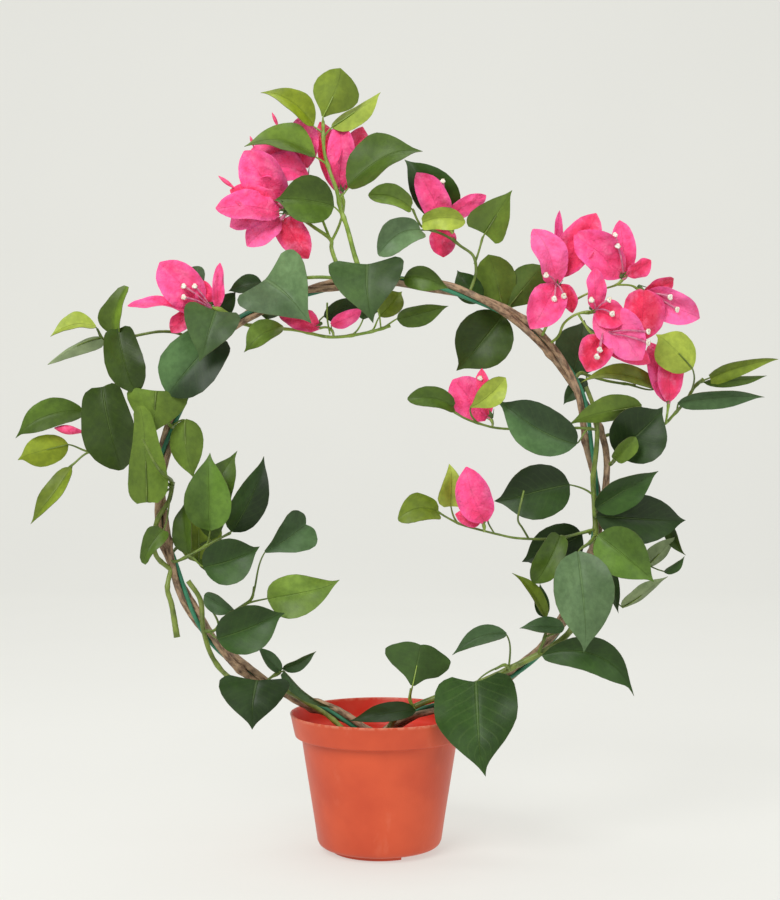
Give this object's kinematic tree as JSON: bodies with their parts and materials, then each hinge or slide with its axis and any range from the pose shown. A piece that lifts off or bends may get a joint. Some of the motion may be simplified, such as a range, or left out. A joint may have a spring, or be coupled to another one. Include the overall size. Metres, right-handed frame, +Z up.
{
  "type": "artificial bougainvillea hoop in a plastic pot",
  "caption": "Artificial bougainvillea trained round an upright woody hoop, with leafy shoots and pink bract clusters, standing in a small terracotta-coloured plastic nursery pot.",
  "frame": {"origin": "centre of the pot's flat underside, on the ground", "axes": "+Z up, -Y towards the viewer of the front, +X to the viewer's right; the hoop stands in the XZ plane"},
  "size_m": [0.5504, 0.13, 0.5627],
  "materials": {
    "pot_plastic": "satin moulded polypropylene, terracotta orange",
    "potting_mix": "rough dark brown set filler",
    "woody_stem": "dry grooved bark, grey brown",
    "wire_coating": "dull green plastic coating",
    "green_stem": "moulded olive green stem, satin",
    "foliage": "printed leaf cloth, soft sheen",
    "blossom": "dyed pink cloth bracts"
  },
  "bodies": {
    "root": {"blossom_inner_high": "blossom", "blossom_inner_low": "blossom", "blossom_left": "blossom", "blossom_right_high": "blossom", "blossom_right_low": "blossom", "blossom_right_tip": "blossom", "blossom_top": "blossom", "blossom_under_top": "blossom", "blossom_upper_right": "blossom", "foliage_bottom_left": "foliage", "foliage_left": "foliage", "foliage_left_back": "foliage", "foliage_left_inner": "foliage", "foliage_left_low": "foliage", "foliage_lower_left": "foliage", "foliage_lower_right": "foliage", "foliage_pot": "foliage", "foliage_pot_right": "foliage", "foliage_right": "foliage", "foliage_right_back": "foliage", "foliage_right_high": "foliage", "foliage_right_low": "foliage", "foliage_right_top": "foliage", "foliage_top": "foliage", "foliage_under_top": "foliage", "foliage_upper_left": "foliage", "foliage_upper_right": "foliage", "hoop_stem_a_1": "woody_stem", "hoop_stem_a_2": "woody_stem", "hoop_stem_a_3": "woody_stem", "hoop_stem_a_4": "woody_stem", "hoop_stem_a_5": "woody_stem", "hoop_stem_a_6": "woody_stem", "hoop_stem_b_1": "woody_stem", "hoop_stem_b_2": "woody_stem", "hoop_stem_b_3": "woody_stem", "hoop_stem_b_4": "woody_stem", "hoop_stem_b_5": "woody_stem", "hoop_stem_b_6": "woody_stem", "hoop_wire_1": "wire_coating", "hoop_wire_2": "wire_coating", "hoop_wire_3": "wire_coating", "hoop_wire_4": "wire_coating", "hoop_wire_5": "wire_coating", "hoop_wire_6": "wire_coating", "pot": "pot_plastic", "potting": "potting_mix", "spray_inner_high": "foliage", "spray_inner_low": "foliage", "spray_left_far": "foliage", "spray_left_top": "foliage", "spray_right_tip": "foliage", "spray_top": "foliage", "spray_upper_right": "foliage", "stub_left": "green_stem", "vine_left_high": "green_stem", "vine_left_low": "green_stem", "vine_right_high": "green_stem", "vine_right_low": "green_stem"}
  },
  "joints": []
}
